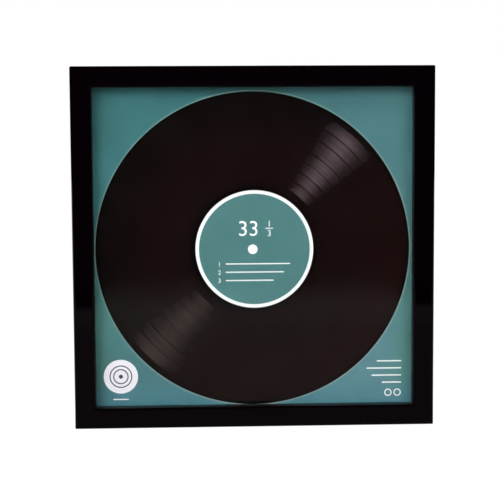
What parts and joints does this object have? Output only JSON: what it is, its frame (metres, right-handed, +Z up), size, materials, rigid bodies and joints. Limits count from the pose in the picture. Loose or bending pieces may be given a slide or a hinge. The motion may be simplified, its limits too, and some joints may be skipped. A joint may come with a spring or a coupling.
{
  "type": "record sleeve wall frame",
  "caption": "Square black wall frame that shows a twelve inch record sleeve behind glass; turn buttons free the back so the sheets lift out, and a saw tooth strip hangs it.",
  "frame": {"origin": "top of the saw tooth hanger's middle notch, in the middle of the strip's thickness, where the wall nail carries the frame", "axes": "+Z up, +Y towards the wall, the front faces -Y, +X to the right for someone who looks at the front"},
  "size_m": [0.345, 0.0263, 0.345],
  "materials": {
    "black_moulding": "fibreboard wrapped in high gloss black film",
    "glass": "clear float glass with ground edges",
    "printed_paper": "matt coated paper, printed teal with a life size black record",
    "corrugated_card": "brown corrugated card",
    "fibreboard": "bare brown fibreboard, smooth side out",
    "zinc_plate": "bright zinc plated steel",
    "screw_steel": "zinc plated steel",
    "rubber": "soft black rubber"
  },
  "bodies": {
    "frame": {"bottom_rail": "black_moulding", "left_rail": "black_moulding", "top_rail": "black_moulding", "right_rail": "black_moulding", "corner_nails": "screw_steel", "turn_button_screws": "screw_steel", "sawtooth_hanger": "zinc_plate", "hanger_nails": "screw_steel", "wall_bumper_left": "rubber", "wall_bumper_right": "rubber"},
    "glazing": {"glazing": "glass"},
    "print_sheet": {"print_sheet": "printed_paper"},
    "filler_card": {"filler_card": "corrugated_card"},
    "backing_board": {"backing_board": "fibreboard"},
    "turn_button_bottom_left": {"turn_button_bottom_left": "zinc_plate"},
    "turn_button_bottom_right": {"turn_button_bottom_right": "zinc_plate"},
    "turn_button_left_upper": {"turn_button_left_upper": "zinc_plate"},
    "turn_button_left_lower": {"turn_button_left_lower": "zinc_plate"},
    "turn_button_top_right": {"turn_button_top_right": "zinc_plate"},
    "turn_button_top_left": {"turn_button_top_left": "zinc_plate"},
    "turn_button_right_lower": {"turn_button_right_lower": "zinc_plate"},
    "turn_button_right_upper": {"turn_button_right_upper": "zinc_plate"}
  },
  "joints": [
    {"name": "glazing_lift", "type": "slide", "parent": "frame", "child": "glazing", "axis": [0, 1, 0], "range_m": [0, 0.02]},
    {"name": "print_sheet_lift", "type": "slide", "parent": "glazing", "child": "print_sheet", "axis": [0, 1, 0], "range_m": [0, 0.02]},
    {"name": "filler_card_lift", "type": "slide", "parent": "print_sheet", "child": "filler_card", "axis": [0, 1, 0], "range_m": [0, 0.02]},
    {"name": "backing_board_lift", "type": "slide", "parent": "filler_card", "child": "backing_board", "axis": [0, 1, 0], "range_m": [0, 0.02]},
    {"name": "turn_bottom_left", "type": "hinge", "parent": "frame", "child": "turn_button_bottom_left", "pos_m": [-0.09, -0.0014, -0.3277], "axis": [0, -1, 0], "continuous": true},
    {"name": "turn_bottom_right", "type": "hinge", "parent": "frame", "child": "turn_button_bottom_right", "pos_m": [0.09, -0.0014, -0.3277], "axis": [0, 1, 0], "continuous": true},
    {"name": "turn_left_upper", "type": "hinge", "parent": "frame", "child": "turn_button_left_upper", "pos_m": [-0.16553, -0.0014, -0.07218], "axis": [0, -1, 0], "continuous": true},
    {"name": "turn_left_lower", "type": "hinge", "parent": "frame", "child": "turn_button_left_lower", "pos_m": [-0.16553, -0.0014, -0.25217], "axis": [0, 1, 0], "continuous": true},
    {"name": "turn_top_right", "type": "hinge", "parent": "frame", "child": "turn_button_top_right", "pos_m": [0.09, -0.0014, 0.00335], "axis": [0, -1, 0], "continuous": true},
    {"name": "turn_top_left", "type": "hinge", "parent": "frame", "child": "turn_button_top_left", "pos_m": [-0.09, -0.0014, 0.00335], "axis": [0, 1, 0], "continuous": true},
    {"name": "turn_right_lower", "type": "hinge", "parent": "frame", "child": "turn_button_right_lower", "pos_m": [0.16553, -0.0014, -0.25217], "axis": [0, -1, 0], "continuous": true},
    {"name": "turn_right_upper", "type": "hinge", "parent": "frame", "child": "turn_button_right_upper", "pos_m": [0.16553, -0.0014, -0.07218], "axis": [0, 1, 0], "continuous": true}
  ]
}
